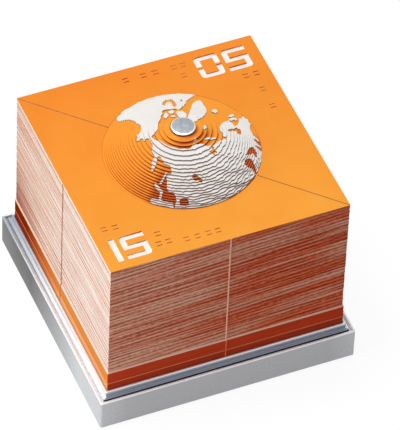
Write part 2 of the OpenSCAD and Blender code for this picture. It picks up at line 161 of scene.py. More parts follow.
class Shade(Graph):
    """A material under construction."""

    def __init__(self, name):
        self.material = bpy.data.materials.new(name)
        self.material.use_nodes = True
        super().__init__(self.material.node_tree)
        self.bsdf = self.tree.nodes["Principled BSDF"]
        self.coords = self.node("ShaderNodeTexCoord").outputs

    def split(self, vector):
        n = self.node("ShaderNodeSeparateXYZ")
        self.link(vector, n.inputs[0])
        return n.outputs

    def place(self):
        return self.split(self.coords["Object"])

    def normal(self):
        return self.split(self.coords["Normal"])

    def radius(self):
        """Distance from the pole's axis."""
        x, y, _ = self.place()
        return self.math("SQRT", self.plus(self.times(x, x), self.times(y, y)))

    def frontward(self):
        """How far a face looks to the front or rear (1) rather than to a side (0)."""
        return self.span(self.absolute(self.normal()[1]), 0.4, 0.8)

    def level(self):
        """How level a face is, 0 to 1."""
        return self.span(self.absolute(self.normal()[2]), 0.5, 0.8)

    def away(self, low, high):
        """How far along the block from front to rear, 0 to 1, between two places in millimetres."""
        return self.span_mm(self.place()[1], low, high)

    def arc(self, low, high, soft):
        """1 between two bearings round the pole, in degrees, with soft ends."""
        x, y, _ = self.place()
        turn = self.math("ARCTAN2", self.times(y, -1.0), self.times(x, -1.0))
        bearing = self.plus(self.math("DEGREES", turn), 180.0)
        return self.times(self.span(bearing, low - soft, low + soft),
                          self.span(bearing, high - soft, high + soft, 1.0, 0.0))

    def stored(self, name):
        n = self.node("ShaderNodeAttribute")
        n.attribute_name = name
        return n.outputs["Fac"]

    def noise(self, scale, detail, rough, vector=None):
        n = self.node("ShaderNodeTexNoise")
        n.inputs["Scale"].default_value = scale
        n.inputs["Detail"].default_value = detail
        n.inputs["Roughness"].default_value = rough
        self.link(vector or self.coords["Object"], n.inputs["Vector"])
        return n.outputs["Fac"]

    def stretched(self, scales, detail, rough, offset=(0, 0, 0)):
        """Noise with a scale of its own along each axis."""
        m = self.node("ShaderNodeMapping")
        m.inputs["Scale"].default_value = scales
        m.inputs["Location"].default_value = offset
        self.link(self.coords["Object"], m.inputs["Vector"])
        return self.noise(1.0, detail, rough, m.outputs["Vector"])

    def white(self, value):
        n = self.node("ShaderNodeTexWhiteNoise")
        n.noise_dimensions = "1D"
        self.feed(n.inputs["W"], value)
        return n.outputs["Value"]

    def mix(self, fac, a, b, blend="MIX"):
        n = self.node("ShaderNodeMix")
        n.data_type = "RGBA"
        n.blend_type = blend
        self.feed(n.inputs[0], fac)
        self.feed(n.inputs[6], a)
        self.feed(n.inputs[7], b)
        return n.outputs[2]

    def ramp(self, fac, places, *colours):
        n = self.node("ShaderNodeValToRGB")
        self.feed(n.inputs["Fac"], fac)
        elements = n.color_ramp.elements
        while len(elements) < len(places):
            elements.new(0.5)
        for element, place, colour in zip(elements, places, colours):
            element.position = place
            element.color = colour
        return n.outputs["Color"]

    def bump(self, height, strength, distance):
        n = self.node("ShaderNodeBump")
        n.inputs["Strength"].default_value = strength
        n.inputs["Distance"].default_value = distance * MM
        self.feed(n.inputs["Height"], height)
        self.link(n.outputs["Normal"], self.bsdf.inputs["Normal"])

    def set(self, **values):
        names = {"color": "Base Color", "rough": "Roughness", "metal": "Metallic", "spec": "Specular IOR Level"}
        for key, value in values.items():
            self.feed(self.bsdf.inputs[names[key]], value)

    def set_rough(self, noise, low, high):
        """A roughness that wanders between two values."""
        self.set(rough=self.span(noise, *NOISE, low, high))


def srgb(r, g, b):
    """A colour as it should look on screen, 0 to 255, in the shader's linear units."""
    def one(c):
        c /= 255
        return c / 12.92 if c <= 0.04045 else ((c + 0.055) / 1.055) ** 2.4
    return (one(r), one(g), one(b), 1.0)


# Materials of the globe

PAPER_ROUGH = (0.7, 0.85)
RING_RATE = 38000.0  # of the cap's turned rings: one in 0.17 mm


def flat_print(s, light, dark):
    """Printed face of a sheet: slow clouds and fine fibres."""
    fibre = s.noise(2600, 4, 0.7)
    s.bump(fibre, 0.2, 0.03)
    return s.ramp(s.weigh(s.noise(55, 3, 0.6), 0.45, fibre, 0.55), (0.36, 0.6), dark, light)


def riser_in_painted_shade(s, light, dark):
    """Cut edge of a disc, in painted shade: darker than the tread, as an upright face in shade looks."""
    return s.ramp(s.noise(1500, 3, 0.6), (0.35, 0.65), dark, light)


def foot_shade(s, first, full, strength, bearing, elsewhere):
    """Shade on a tread towards the foot of the next riser, from one place between the last riser (0) and the next
    (1) to another. It is full on the near side of the globe, from a bearing on, and weaker elsewhere."""
    near = s.arc(bearing, 350, 12)
    return s.times(s.span(s.stored("foot"), first, full, 0.0, strength), s.span(near, 0.0, 1.0, elsewhere, 1.0))


def globe_finish(s, riser, tread):
    """Puts the colours of upright and level faces together: the risers' colour in painted shade, the treads'
    print.
    """
    s.set(color=s.mix(s.level(), riser, tread), spec=0.12)
    s.set_rough(s.noise(700, 2, 0.5), *PAPER_ROUGH)
    return s.material


def sea_material():
    """Sea: printed orange, with painted shade on its cut edges, in the narrow seas between the lands and round
    the pole on the near side, and painted light on the edges on the globe's left side.
    """
    s = Shade("sea_paper")
    radius = s.radius()
    # Masks for painted shade: the narrow seas between the lands, and the sea round the pole on the near side
    narrow = s.times(s.span_mm(radius, 15, 24), s.most(s.arc(222, 268, 3), s.arc(296, 352, 5)))
    polar = s.times(s.span_mm(radius, 10.5, 13, 1.0, 0.0), s.arc(230, 335, 15))

    tread = flat_print(s, srgb(251, 163, 58), srgb(246, 154, 50))
    # Painted shade: redder, darker treads in the narrow seas and round the pole on the near side
    tread = s.mix(s.times(narrow, 0.8), tread, srgb(192, 68, 30))
    tread = s.mix(s.times(polar, 0.35), tread, srgb(206, 96, 32))
    riser = riser_in_painted_shade(s, srgb(176, 70, 28), srgb(140, 46, 18))
    # Painted light: lighter edges on the globe's left side
    riser = s.mix(s.times(s.arc(140, 207, 8), 0.8), riser, srgb(206, 112, 36))
    # Painted shade: darker edges in the narrow seas
    riser = s.mix(s.times(narrow, 0.7), riser, srgb(118, 26, 10))

    # Shade on the treads: at the foot of each riser, wider near the pole, and round and beside the cap
    at_feet = foot_shade(s, first=0.6, full=0.95, strength=0.8, bearing=200, elsewhere=0.25)
    at_pole = s.times(s.span(s.stored("foot"), 0.3, 0.7, 0.0, 0.9), polar)
    round_cap = s.span_mm(radius, cap_r + 0.1, cap_r + 0.75, 0.9, 0.0)
    beside_cap = s.times(s.span_mm(radius, cap_r + 0.5, cap_r + 1.5, 0.9, 0.0), s.arc(265, 345, 20))
    shade = s.most(s.most(at_feet, at_pole), s.most(round_cap, beside_cap))
    return globe_finish(s, riser, s.mix(shade, tread, riser))


def land_material():
    """Land: white paper, faintly grey and uneven, with its cut edge in painted shade."""
    s = Shade("land_paper")
    tread = flat_print(s, srgb(242, 239, 235), srgb(230, 226, 221))
    riser = riser_in_painted_shade(s, srgb(162, 142, 132), srgb(124, 102, 92))
    shade = foot_shade(s, first=0.72, full=0.98, strength=0.4, bearing=212, elsewhere=0.1)
    return globe_finish(s, riser, s.mix(shade, tread, riser))


def cap_material():
    """Turned cap: fine rings about the axis in a satin metal, with a painted highlight round its rim and painted
    shade on its underside.
    """
    s = Shade("turned_cap")
    radius = s.radius()
    blur = s.noise(600, 3, 0.6)
    plate = s.ramp(blur, NOISE, srgb(156, 160, 167), srgb(168, 172, 178))
    # Painted highlight round the rim
    rim = s.span_mm(radius, cap_r - 0.55, cap_r - 0.4)
    # Painted shade on the cap's underside, beneath the rim
    underside_painted_shade = s.span_mm(s.place()[2], cap_z - 0.62, cap_z - 0.5, 1.0, 0.0)
    s.set(color=s.mix(underside_painted_shade, s.mix(rim, plate, srgb(236, 238, 242)), srgb(74, 62, 60)), metal=1.0)
    s.set_rough(blur, 0.28, 0.4)
    s.bump(s.math("SINE", s.times(radius, RING_RATE)), 0.05, 0.004)
    return s.material


# Materials of the block

LINE_RATE, LINE_DRIFT = 3490.0, 14.0  # of the lines on the cut edges: one in 1.8 mm, and how far they wander
LINE_SLOPE, FAN_SLOPE = 0.05, 0.1  # of the lines and of the red wedges


def cut_edges(s):
    """Cut edges of the stacked sheets and their finest lines, with painted light and shade: pale, lit colours on
    the sides and deep, shaded colours on front and rear.
    """
    x, y, z = s.place()
    along = s.plus(x, y)
    hair = s.stretched((30, 30, 1500), 2, 0.5)

    # Fine grain: single sheets, slanting lines, plies and speckles
    layer = s.math("FLOOR", s.math("DIVIDE", s.minus(z, board_top_z * MM), sheet_t * MM))
    slant = s.minus(z, s.times(along, LINE_SLOPE))
    lines = s.math("SINE", s.weigh(slant, LINE_RATE, s.stretched((8, 8, 90), 2, 0.5), LINE_DRIFT))
    ply = s.span(s.stretched((18, 18, 700), 1, 0.5, (1, 7, 0.4)), *NOISE)
    speckle = s.stretched((520, 520, 1500), 1, 0.5, (2, 4, 0.7))
    fine = s.plus(s.weigh(s.white(layer), 0.16, ply, 0.14), s.weigh(s.span(lines, -1, 1), 0.24, speckle, 0.46))

    # Sides, in painted light: pale stripes; painted shade makes them darker towards the rear, and a browner
    # painted shadow lies low down there
    stripe = s.weigh(s.stretched((5, 5, 330), 2, 0.45), 0.86, hair, 0.14)
    near = s.ramp(stripe, (0.34, 0.46, 0.6), srgb(233, 202, 185), srgb(240, 223, 211), srgb(243, 231, 221))
    far = s.ramp(stripe, (0.36, 0.48, 0.62), srgb(230, 173, 146), srgb(246, 213, 190), srgb(250, 228, 213))
    low_far_painted_shadow = s.times(s.away(20, 50), s.span_mm(z, board_top_z + 28, board_top_z))
    side = s.mix(low_far_painted_shadow, s.mix(s.away(-15, 62), near, far), srgb(140, 66, 46))

    # Front and rear, in painted shade: tan, warmer right of the middle, with deep red wedges that get more to the
    # right
    grain = (0.35, 0.49, 0.63)
    deep = s.ramp(fine, grain, srgb(168, 44, 20), srgb(222, 86, 48), srgb(252, 130, 88))
    tan = s.ramp(fine, grain, srgb(198, 106, 80), srgb(242, 167, 137), srgb(255, 209, 184))
    warm_tan = s.ramp(fine, grain, srgb(186, 84, 56), srgb(232, 136, 102), srgb(252, 178, 148))
    warm = s.times(s.span_mm(x, -12, 10, 0.0, 0.7), s.span_mm(x, 36, 46, 1.0, 0.0))
    tan = s.mix(warm, tan, warm_tan)
    fan = s.minus(z, s.times(along, FAN_SLOPE))
    wedge = s.node("ShaderNodeCombineXYZ")
    for socket, value, scale in zip(wedge.inputs, (along, s.minus(x, y), fan), (15.0, 3.0, 250.0)):
        s.feed(socket, s.times(value, scale))
    streak = s.noise(1.0, 1, 0.5, wedge.outputs[0])
    rightward = s.span_mm(x, -45, 12)
    low = s.span_mm(z, board_top_z + 22, board_top_z + 8, 0.0, 0.09)
    shift = s.plus(s.times(rightward, 0.05), s.times(low, s.minus(rightward, 0.55)))
    red = s.times(s.span(s.plus(streak, shift), 0.45, 0.58), s.span(rightward, 0.0, 1.0, 0.3, 1.0))
    fade = s.stretched((30, 30, 160), 2, 0.5, (3, 5, 1))
    front = s.mix(s.times(red, s.span(fade, 0.3, 0.6, 0.8, 1.0)), tan, deep)
    # Painted light and shade: the sides take the lit colours, front and rear the shaded ones
    return s.mix(s.frontward(), side, front), hair


def page_painted_light(s, face):
    """Painted light: the page's slow change of tone, paler at the front and darker, redder at the rear, a little
    askew, and a little more red from left to right.
    """
    x, y, _ = s.place()
    depth = s.minus(y, s.times(x, 0.28))
    # Painted light: paler towards the front, darker and redder towards the rear
    rearward = s.mix(s.span_mm(depth, -55, 55), (1.0, 1.17, 1.2, 1), (0.95, 0.82, 0.72, 1))
    sideward = s.mix(s.span_mm(x, -50, 50), (0.975, 1, 1, 1), (1.03, 1, 1, 1))
    return s.mix(1.0, s.mix(1.0, face, rearward, "MULTIPLY"), sideward, "MULTIPLY")


def sheet_material(name, light, dark, rim=None):
    """Sheets of the block: their printed face, and the cut edge that they share with the sheets round them.
    The page gets painted light: a pale, lit colour of its own on the cut edge of the sides, and a slow change of
    tone on its face."""
    s = Shade(name)
    edge, hair = cut_edges(s)
    face = flat_print(s, light, dark)
    if rim:
        # Painted light: the page's pale, lit edge colour on the sides
        edge = s.mix(s.frontward(), rim, edge)
        # Painted light on the page's face
        face = page_painted_light(s, face)
    s.set(color=s.mix(s.level(), edge, face), spec=0.1)
    s.set_rough(hair, *PAPER_ROUGH)
    return s.material


def white_sheet_material(name, light, dark, front_light, front_dark):
    """A pale sheet in the block: white face, pale cut edge, warmer on front and rear, where the edge takes its
    own pair of colours as painted light and shade.
    """
    s = Shade(name)
    fine = s.stretched((40, 40, 2600), 2, 0.5)
    # Painted light and shade: front and rear take their own pair of edge colours
    edge = s.mix(s.frontward(), s.ramp(fine, NOISE, dark, light), s.ramp(fine, NOISE, front_dark, front_light))
    s.set(color=s.mix(s.level(), edge, flat_print(s, light, dark)), spec=0.1)
    s.set_rough(fine, *PAPER_ROUGH)
    return s.material


def board_material(name, near, middle, far, deep, top, rim_z=None):
    """Coated board, with painted shade: sides that get redder and darker towards the rear, deep on front and
    rear.
    It has its own colour on top and, where rim_z is given, along its upper edge. The first four are pairs, light
    and dark."""
    s = Shade(name)
    streak = s.stretched((50, 50, 1300), 3, 0.6)
    near, middle, far, deep = [s.ramp(streak, NOISE, dark, light) for light, dark in (near, middle, far, deep)]
    # Painted shade: the sides darker and redder towards the rear
    side = s.mix(s.away(14, 37), s.mix(s.away(0, 14), near, middle), far)
    pale = s.level()
    if rim_z:
        pale = s.most(pale, s.span_mm(s.place()[2], rim_z - 0.5, rim_z - 0.4, 0.0, 0.85))
    # Painted shade: the deep colours on front and rear
    s.set(color=s.mix(pale, s.mix(s.frontward(), side, deep), top), spec=0.0)
    s.set_rough(streak, 0.5, 0.62)
    s.bump(s.noise(1800, 3, 0.6), 0.15, 0.03)
    return s.material


def glue_material():
    """Dried padding glue: milky and uneven over the sheets, stained by the boards lower down. Painted shade makes
    it browner on the sides than on front and rear, where painted light keeps it lighter."""
    s = Shade("padding_glue")
    x, _, z = s.place()
    blot = s.noise(900, 3, 0.6)
    # Painted shade: browner on the sides; front and rear keep lighter, milky colours as painted light
    sides = s.span_mm(s.absolute(x), 45, 47)
    brown = s.ramp(s.stretched((60, 60, 1500), 2, 0.5), (0.4, 0.6), srgb(150, 92, 70), srgb(196, 140, 116))
    milky = s.mix(sides, s.ramp(blot, NOISE, srgb(246, 172, 140), srgb(255, 204, 178)), brown)
    # Painted shade: the stained part is darker on the sides too
    stained = s.mix(sides, s.ramp(blot, NOISE, srgb(214, 92, 44), srgb(232, 122, 66)), srgb(190, 96, 36))
    s.set(color=s.mix(s.span_mm(z, board_top_z - 1, board_top_z + 1), stained, milky), spec=0.4)
    s.set_rough(blot, 0.35, 0.55)
    s.bump(blot, 0.4, 0.08)
    return s.material


# Materials of the stand and the hidden pieces

INWARD = 0.3  # share of the stand's half width from which on a wall counts as looking inward


def silver_material(name, front, corner, near, far, rim_front, rim_side, rim_z, rough, groove):
    """Silver lacquer on a moulded shell: fine metal flake and soft gloss, with painted light, shade and
    reflection.
    Front and rear change towards the corners, the sides get darker from the near end to the rear; level faces,
    faces that look inward and rims are lighter."""
    s = Shade(name)
    x, y, z = s.place()
    nx, ny, _ = s.normal()
    flake = s.noise(9000, 2, 0.5)
    # Painted light and reflection: front and rear faces take other tones than the sides
    on_front = s.span_mm(s.minus(s.absolute(y), s.absolute(x)), -0.3, 0.3)
    outward = s.plus(s.times(x, nx), s.times(y, ny))
    inward = s.math("LESS_THAN", outward, -INWARD * stand_half * MM)
    # Painted light: level faces and faces that look inward are lighter
    painted_bright = s.most(inward, s.level())
    # Painted highlight towards the corners of front and rear; painted shade towards the rear of the sides
    wall_front = s.mix(s.span_mm(s.absolute(x), 43, 55), front, corner)
    wall_side = s.mix(s.away(-31, 22), near, far)
    # Painted shade on the side rims towards the rear
    rim_side = s.mix(s.away(8, 50), rim_side, srgb(176, 182, 192))
    tone = s.mix(painted_bright, s.mix(on_front, wall_side, wall_front), s.mix(on_front, rim_side, rim_front))
    # Painted highlight along the top rim
    rim = s.span_mm(z, rim_z - 0.6, rim_z - 0.4)
    tone = s.mix(rim, tone, s.mix(on_front, rim_side, srgb(250, 250, 252)))
    if groove:
        spread = s.most(s.absolute(x), s.absolute(y))
        tone = s.mix(s.span_mm(spread, board_half - 0.2, board_half + 0.1, 1.0, 0.0), tone, srgb(186, 188, 193))
        # Painted shade: dark in the groove below the ledge on front and rear
        below = s.span_mm(z, ledge_z - 0.08, ledge_z - 0.25, 0.0, 0.95)
        tone = s.mix(s.times(on_front, below), tone, srgb(58, 56, 62))
    s.set(color=s.mix(s.span(flake, *NOISE, 0.0, 0.06), tone, srgb(120, 122, 126)), metal=0.35)
    s.set_rough(s.noise(60, 3, 0.6), rough - 0.03, rough + 0.03)
    s.bump(flake, 0.06, 0.01)
    return s.material


def plain_material(name, light, dark, rough, metal=0.0):
    """A plain moulded or plated surface with a fine grain."""
    s = Shade(name)
    grain = s.noise(1200, 3, 0.6)
    s.set(color=s.ramp(grain, (0.35, 0.65), dark, light), metal=metal)
    s.set_rough(grain, rough - 0.06, rough + 0.06)
    s.bump(grain, 0.2, 0.03)
    return s.material


mat_sea = sea_material()
mat_land = land_material()
mat_cap = cap_material()
# The page's last colour is its pale, lit edge colour on the sides: painted light
mat_page = sheet_material("page_paper", srgb(251, 157, 58), srgb(247, 149, 51), srgb(250, 236, 222))
mat_pack = sheet_material("pack_paper", srgb(228, 136, 74), srgb(214, 118, 60))
# White sheets: painted shade, darker and warmer edges on front and rear
mat_white = white_sheet_material(
    "white_paper", srgb(248, 245, 240), srgb(240, 236, 230), srgb(214, 140, 112), srgb(196, 112, 84))
# Liner: painted light, a stronger and warmer edge colour on front and rear, where they lie in shade
mat_liner = white_sheet_material(
    "liner_paper", srgb(246, 220, 204), srgb(240, 208, 190), srgb(255, 212, 188), srgb(255, 204, 178))
# Painted shade in the boards' far and deep colours
mat_upper = board_material(
    "coated_board_upper",
    near=(srgb(229, 146, 71), srgb(219, 134, 61)), middle=(srgb(223, 118, 52), srgb(211, 106, 44)),
    far=(srgb(142, 44, 10), srgb(126, 36, 7)), deep=(srgb(222, 78, 44), srgb(204, 66, 38)),
    top=srgb(250, 210, 188))
mat_lower = board_material(
    "coated_board_lower",
    near=(srgb(241, 173, 121), srgb(230, 157, 103)), middle=(srgb(218, 132, 76), srgb(204, 116, 62)),
    far=(srgb(150, 54, 26), srgb(134, 46, 22)), deep=(srgb(194, 70, 40), srgb(176, 58, 32)),
    top=srgb(246, 140, 100), rim_z=board_joint_z)
mat_glue = glue_material()
# Frame: painted highlight at the corners of front and rear, nearly black painted shade at the rear of the sides,
# lighter side rims
mat_frame = silver_material(
    "silver_shell", front=srgb(190, 191, 195), corner=srgb(208, 209, 213), near=srgb(198, 201, 204),
    far=srgb(44, 44, 44), rim_front=srgb(214, 215, 219), rim_side=srgb(248, 248, 249), rim_z=ledge_z,
    rough=0.27, groove=False)
# Tray: painted reflection, bluish on front and rear and light on the sides
mat_tray = silver_material(
    "silver_tray", front=srgb(182, 187, 201), corner=srgb(182, 187, 201), near=srgb(250, 250, 251),
    far=srgb(196, 199, 206), rim_front=srgb(148, 155, 170), rim_side=srgb(250, 250, 251), rim_z=lip_z,
    rough=0.13, groove=True)
mat_base = plain_material("grey_plastic", srgb(128, 129, 132), srgb(116, 117, 120), 0.5)
mat_steel = plain_material("plated_steel", srgb(196, 197, 200), srgb(180, 181, 184), 0.3, 1.0)
mat_rubber = plain_material("foot_rubber", srgb(46, 46, 47), srgb(36, 36, 37), 0.75)
mat_nylon = plain_material("white_nylon", srgb(236, 235, 230), srgb(226, 224, 218), 0.45)

for material, names in (
        (mat_frame, ["stand_frame"]), (mat_tray, ["pad_tray"]), (mat_base, ["base_plate"]),
        (mat_steel, ["base_screws", "spindle_post"]), (mat_rubber, ["rubber_feet"]),
        (mat_lower, ["lower_board"]), (mat_upper, ["upper_board"]), (mat_liner, ["liner_sheet"]),
        (mat_pack, packs), (mat_white, ["front_white_sheet", "rear_white_sheet"]),
        (mat_page, ["front_cover_sheet", "rear_cover_sheet"]),
        (mat_glue, ["front_glue_bead", "left_glue_bead", "rear_glue_bead", "right_glue_bead"]),
        (mat_nylon, ["thrust_washer", "globe_bush"]), (mat_cap, ["pole_cap"]),
        (mat_sea, ["globe_lower_layers", "globe_middle_layers", "globe_sea_layers"]),
        (mat_land, ["globe_land_layers"])):
    for name in names:
        nodes[name].data.materials.clear()
        nodes[name].data.materials.append(material)


# Meshes: rings of equally many points, joined by quads

CORNER_STEPS, SIDE_STEPS = 6, 6  # of a square ring
LEAST_CORNER = 0.05


def turned(points, quarter):
    """Points turned about the pole's axis by a number of quarter turns."""
    c, s = QUARTERS[quarter]
    return [(x * c - y * s, x * s + y * c, z) for x, y, z in points]


def square_ring(side_half, corner, z):
    """Points round a square with rounded corners: each corner's arc, then the side that follows it."""
    inner = side_half - corner
    quarter = []
    for i in range(CORNER_STEPS + 1):
        a = math.radians(90 * i / CORNER_STEPS)
        quarter.append((inner + corner * math.cos(a), inner + corner * math.sin(a), z))
    quarter += [(inner - 2 * inner * i / SIDE_STEPS, side_half, z) for i in range(1, SIDE_STEPS)]
    return [point for turn in range(4) for point in turned(quarter, turn)]


BEARINGS = [(x / math.hypot(x, y), y / math.hypot(x, y)) for x, y, _ in square_ring(10, 2, 0)]


def round_ring(radius, z):
    """Points on a circle, each on about the bearing of the square ring's point with the same number."""
    return [(x * radius, y * radius, z) for x, y in BEARINGS]


def circle(radius, z, count):
    angles = [2 * math.pi * k / count for k in range(count)]
    return [(radius * math.cos(a), radius * math.sin(a), z) for a in angles]


def fillet(side_half, corner, top, width, turn_in, steps):
    """Rings of a quarter round along an upper edge, from the upright face to the level one. The level face lies
    inward of the upright one for turn_in -1, outward for 1."""
    rings = []
    for i in range(steps + 1):
        a = math.radians(90 * i / steps)
        shift = turn_in * width * (1 - math.cos(a))
        rise = width * math.sin(a)
        rings.append(square_ring(side_half + shift, max(corner + shift, LEAST_CORNER), top - width + rise))
    return rings


class Builder:
    """Collects lofted rings in one mesh and makes the finished object from it."""

    def __init__(self):
        self.verts = []
        self.faces = []

    def ring(self, points):
        start = len(self.verts)
        self.verts += points
        return list(range(start, start + len(points)))

    def bridge(self, a, b):
        n = len(a)
        self.faces += [(a[i], a[(i + 1) % n], b[(i + 1) % n], b[i]) for i in range(n)]

    def loft(self, rings, closed=False):
        """Joins each ring to the next one, and either the last to the first or both ends with a face."""
        ids = [self.ring(r) for r in rings]
        for a, b in zip(ids, ids[1:]):
            self.bridge(a, b)
        if closed:
            self.bridge(ids[-1], ids[0])
        else:
            self.faces.append(tuple(reversed(ids[0])))
            self.faces.append(tuple(ids[-1]))

    def make(self, name, material, body, replaced, sharp=35):
        mesh = bpy.data.meshes.new(name)
        mesh.from_pydata([tuple(c * MM for c in v) for v in self.verts], [], self.faces)
        b = bmesh.new()
        b.from_mesh(mesh)
        bmesh.ops.recalc_face_normals(b, faces=b.faces)
        b.to_mesh(mesh)
        b.free()
        mesh.polygons.foreach_set("use_smooth", [True] * len(mesh.polygons))
        mesh.set_sharp_from_angle(angle=math.radians(sharp))
        mesh.materials.append(material)
        obj = bpy.data.objects.new(name, mesh)
        scene.collection.objects.link(obj)
        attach(obj, body)
        if replaced:
            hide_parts(*replaced)


# Stand

def frame_shell():
    """Outer walls with a rounded rim, the groove's wall, the shoulder and the rebate of the base plate."""
    plate_top, shoulder = heights("stand_frame")[1:3]
    seat = reach("stand_frame", base_z)[0]
    inner = reach("stand_frame", shoulder)[0]
    opening = reach("stand_frame", ledge_z)[0]
    corner, inner_corner = 0.8, 0.1
    chamfer, rim_round, groove_round = 0.2, 0.42, 0.15
    rings = [square_ring(seat, inner_corner, base_z),
             square_ring(stand_half - chamfer, corner - chamfer, base_z),
             square_ring(stand_half, corner, base_z + chamfer)]
    rings += fillet(stand_half, corner, ledge_z, rim_round, -1, 5)
    rings += reversed(fillet(opening, groove_round, ledge_z, groove_round, 1, 3))
    rings += [square_ring(opening, groove_round, shoulder), square_ring(inner, inner_corner, shoulder),
              square_ring(inner, inner_corner, plate_top), square_ring(seat, inner_corner, plate_top)]
    b = Builder()
    b.loft(rings, closed=True)
    b.make("frame_shell", mat_frame, "stand", ["stand_frame"])


def tray_shell():
    """Tray floor, rounded lip, foot of the lip, flange, skirt and the four screw bosses."""
    levels = heights("pad_tray")
    boss_z = levels[0]
    inner, lip = reach("pad_tray", lip_z)[0], reach("pad_tray", lip_z)[-1]
    flange = reach("pad_tray", ledge_z)[-1]
    above_boss, above_shoulder = 0.5, 0.05  # steps between levels are larger than these
    skirt_z = min(z for z in levels if z > boss_z + above_boss and reach("pad_tray", z)[-1] > lip)
    shoulder = min(p[2] for p in corners("pad_tray") if abs(abs(p[0]) - flange) < SAME)
    floor_z = min(z for z in levels if z > shoulder + above_shoulder)
    skirt = reach("pad_tray", skirt_z)[-1]
    skirt_wall, skirt_corner, skirt_inner_corner = 1.6, 0.3, 0.2
    middle = 1  # radius of the faces that close the floor
    corner, chamfer, lip_round = 0.5, 0.2, 0.3
    rings = [round_ring(middle, tray_z), square_ring(inner - chamfer, corner - chamfer, tray_z),
             square_ring(inner, corner, tray_z + chamfer)]
    rings += fillet(inner, corner, lip_z, lip_round, 1, 4)
    rings += reversed(fillet(lip, corner, lip_z, lip_round, -1, 4))
    for out, up in ((0, chamfer), (0.06, 0.06), (chamfer, 0)):
        rings.append(square_ring(lip + out, corner + out, ledge_z + up))
    rings += reversed(fillet(flange, corner, ledge_z, chamfer, -1, 3))
    rings += [square_ring(flange, corner, shoulder), square_ring(skirt, skirt_corner, shoulder),
              square_ring(skirt, skirt_corner, skirt_z),
              square_ring(skirt - skirt_wall, skirt_inner_corner, skirt_z),
              square_ring(skirt - skirt_wall, skirt_inner_corner, floor_z), round_ring(middle, floor_z)]
    b = Builder()
    b.loft(rings)
    screw = [p[0] for p in corners("base_screws") if p[0] > 0 and p[1] > 0]
    place = (min(screw) + max(screw)) / 2
    boss, pilot = 3.55, 1.35
    tube = ((pilot, boss_z), (boss - chamfer, boss_z), (boss, boss_z + chamfer), (boss, floor_z),
            (pilot, floor_z))
    for sx in (-1, 1):
        for sy in (-1, 1):
            b.loft([[(x + sx * place, y + sy * place, z) for x, y, z in round_ring(*end)] for end in tube],
                   closed=True)
    b.make("tray_shell", mat_tray, "stand", ["pad_tray"])


frame_shell()
tray_shell()


# Boards and liner

EASED = ((1, 0.2, 0), (0.3, 0.35, 0.3), (0, 0.4, 1))  # share of the inset, corner and share of the rise


def board(name, node, material, crisp):
    """A board with a softened lower edge, an upper edge as crisp as given and the hole for the post."""
    z0, z1 = node_levels(node)
    soft = 0.22
    rings = [round_ring(POST_HOLE, z0)]
    rings += [square_ring(board_half - soft * inset, corner, z0 + soft * rise) for inset, corner, rise in EASED]
    rings += [square_ring(board_half - crisp * inset, corner, z1 - crisp * rise)
              for inset, corner, rise in reversed(EASED)]
    rings.append(round_ring(POST_HOLE, z1))
    b = Builder()
    b.loft(rings, closed=True)
    b.make(name, material, "pad", [node])


def liner():
    """The liner's edge lies turned out over the board's edge."""
    z0, z1 = node_levels("liner_sheet")
    outer, upper, top = board_half - 0.02, page_half + 0.02, page_half - 0.1
    corner, top_corner = 0.3, 0.2
    lower_edge, upper_edge = 0.06, 0.04
    b = Builder()
    b.loft([round_ring(POST_HOLE, z0), square_ring(outer, corner, z0),
            square_ring(outer, corner, z0 + lower_edge), square_ring(upper, corner, z1 - upper_edge),
            square_ring(top, top_corner, z1), round_ring(POST_HOLE, z1)], closed=True)
    b.make("turned_liner", mat_liner, "pad", ["liner_sheet"])


board("lower_board_piece", "lower_board", mat_lower, 0.3)
board("upper_board_piece", "upper_board", mat_upper, 0.06)
liner()


# Packs: single half-sheets, none of them quite flush with the next

PACK_SEED = 101
INSETS = (0.0, 0.02, 0.04, 0.07, 0.11, 0.17)
SET_BACK = 0.05
MOST_SKEW = 0.06
WAVE, WAVE_RATE, MOST_PHASE = 0.03, 0.21, 6.28
CUT_GAP = 0.22  # of a sheet's ends to the corners of the block, where the cut runs
EDGE_STEPS, BITE_STEPS = 14, 24
THINNER = (0.03, 0.09)
BITE_WITHIN = 0.9  # of the block's half width: corners nearer to the globe than this belong to the bite
SAME_LEVEL = 0.05


def bite_radius(cloud, z):
    """Radius of a pack's bite round the globe at one height, from its corners nearest to that height."""
    found = [(abs(p[2] - z), math.hypot(p[0], p[1])) for p in cloud]
    found = [(d, r) for d, r in found if r < BITE_WITHIN * page_half]
    nearest = min(d for d, _ in found)
    return max(r for d, r in found if d < nearest + SAME_LEVEL)


def sheet_outline(rng, bite):
    """One half-sheet on the front side of the cut, with slightly uneven outer edges."""
    inset = rng.choice(INSETS)
    skew = rng.uniform(-MOST_SKEW, MOST_SKEW)
    phase = rng.uniform(0, MOST_PHASE)
    edge = page_half - inset
    cut = page_half - CUT_GAP

    def uneven(along):
        shift = skew * along / page_half + WAVE * math.sin(along * WAVE_RATE + phase)
        return max(-page_half, -edge + SET_BACK + shift)

    outline = []
    for k in range(EDGE_STEPS + 1):
        x = -edge + (cut + edge) * k / EDGE_STEPS
        outline.append((x, uneven(x)))
    middle = (cut - page_half) / 2
    chord = math.sqrt((bite * bite - 2 * middle * middle) / 2)
    first = math.atan2(middle - chord, middle + chord)
    last = math.atan2(middle + chord, middle - chord) - 2 * math.pi
    for k in range(BITE_STEPS + 1):
        a = first + (last - first) * k / BITE_STEPS
        outline.append((bite * math.cos(a), bite * math.sin(a)))
    for k in range(EDGE_STEPS):
        y = cut - (cut + edge) * k / EDGE_STEPS
        outline.append((uneven(y), y))
    return outline


